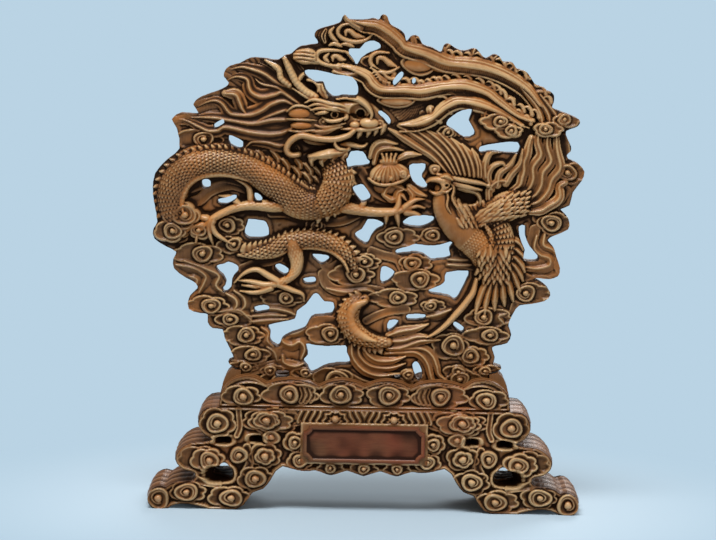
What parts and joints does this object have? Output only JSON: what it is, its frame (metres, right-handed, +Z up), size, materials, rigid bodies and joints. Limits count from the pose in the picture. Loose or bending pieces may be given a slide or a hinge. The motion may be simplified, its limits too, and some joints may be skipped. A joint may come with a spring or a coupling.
{
  "type": "carved table screen",
  "caption": "Pierced carved wooden table screen with a dragon and a phoenix among clouds, whose panel lifts out of a tiered cloud stand.",
  "frame": {"origin": "on the table, under the middle of the stand", "axes": "+Z up, the carved front faces -Y, +X to the right as seen from the front"},
  "size_m": [0.2158, 0.0604, 0.2455],
  "materials": {
    "carving": "aged carved boxwood, waxed, dark in the recesses",
    "ground": "dark stained boxwood",
    "stand": "aged carved boxwood, waxed",
    "plaque": "red-brown stained boxwood",
    "bamboo": "plain split bamboo"
  },
  "bodies": {
    "stand": {"left_foot": "stand", "right_foot": "stand", "front_apron": "stand", "rear_apron": "stand", "plaque": "plaque", "slot_board": "ground", "slot_batten": "ground", "front_cloud_rail": "stand", "rear_cloud_rail": "stand", "left_end_rail": "stand", "right_end_rail": "stand", "apron_pegs": "bamboo", "rail_pegs": "bamboo"},
    "screen": {"ground_board": "ground", "dragon_mane": "carving", "dragon_head": "carving", "dragon_body": "carving", "dragon_lower_coil": "carving", "dragon_tail": "carving", "dragon_tail_tuft": "carving", "dragon_left_foreleg": "carving", "dragon_right_foreleg": "carving", "dragon_hind_leg": "carving", "flaming_pearl": "carving", "phoenix_head": "carving", "phoenix_crest": "carving", "phoenix_body": "carving", "phoenix_wing": "carving", "phoenix_upper_plume": "carving", "phoenix_middle_plume": "carving", "phoenix_lower_plume": "carving", "phoenix_rump": "carving", "phoenix_streamer": "carving", "upper_left_clouds": "carving", "left_clouds": "carving", "lower_left_clouds": "carving", "upper_middle_clouds": "carving", "middle_clouds": "carving", "lower_middle_clouds": "carving", "upper_right_clouds": "carving", "right_clouds": "carving", "lower_right_clouds": "carving", "relief_pegs": "bamboo"}
  },
  "joints": [
    {"name": "panel_lift", "type": "slide", "parent": "stand", "child": "screen", "axis": [0, 0, 1], "range_m": [0, 0.02]}
  ]
}
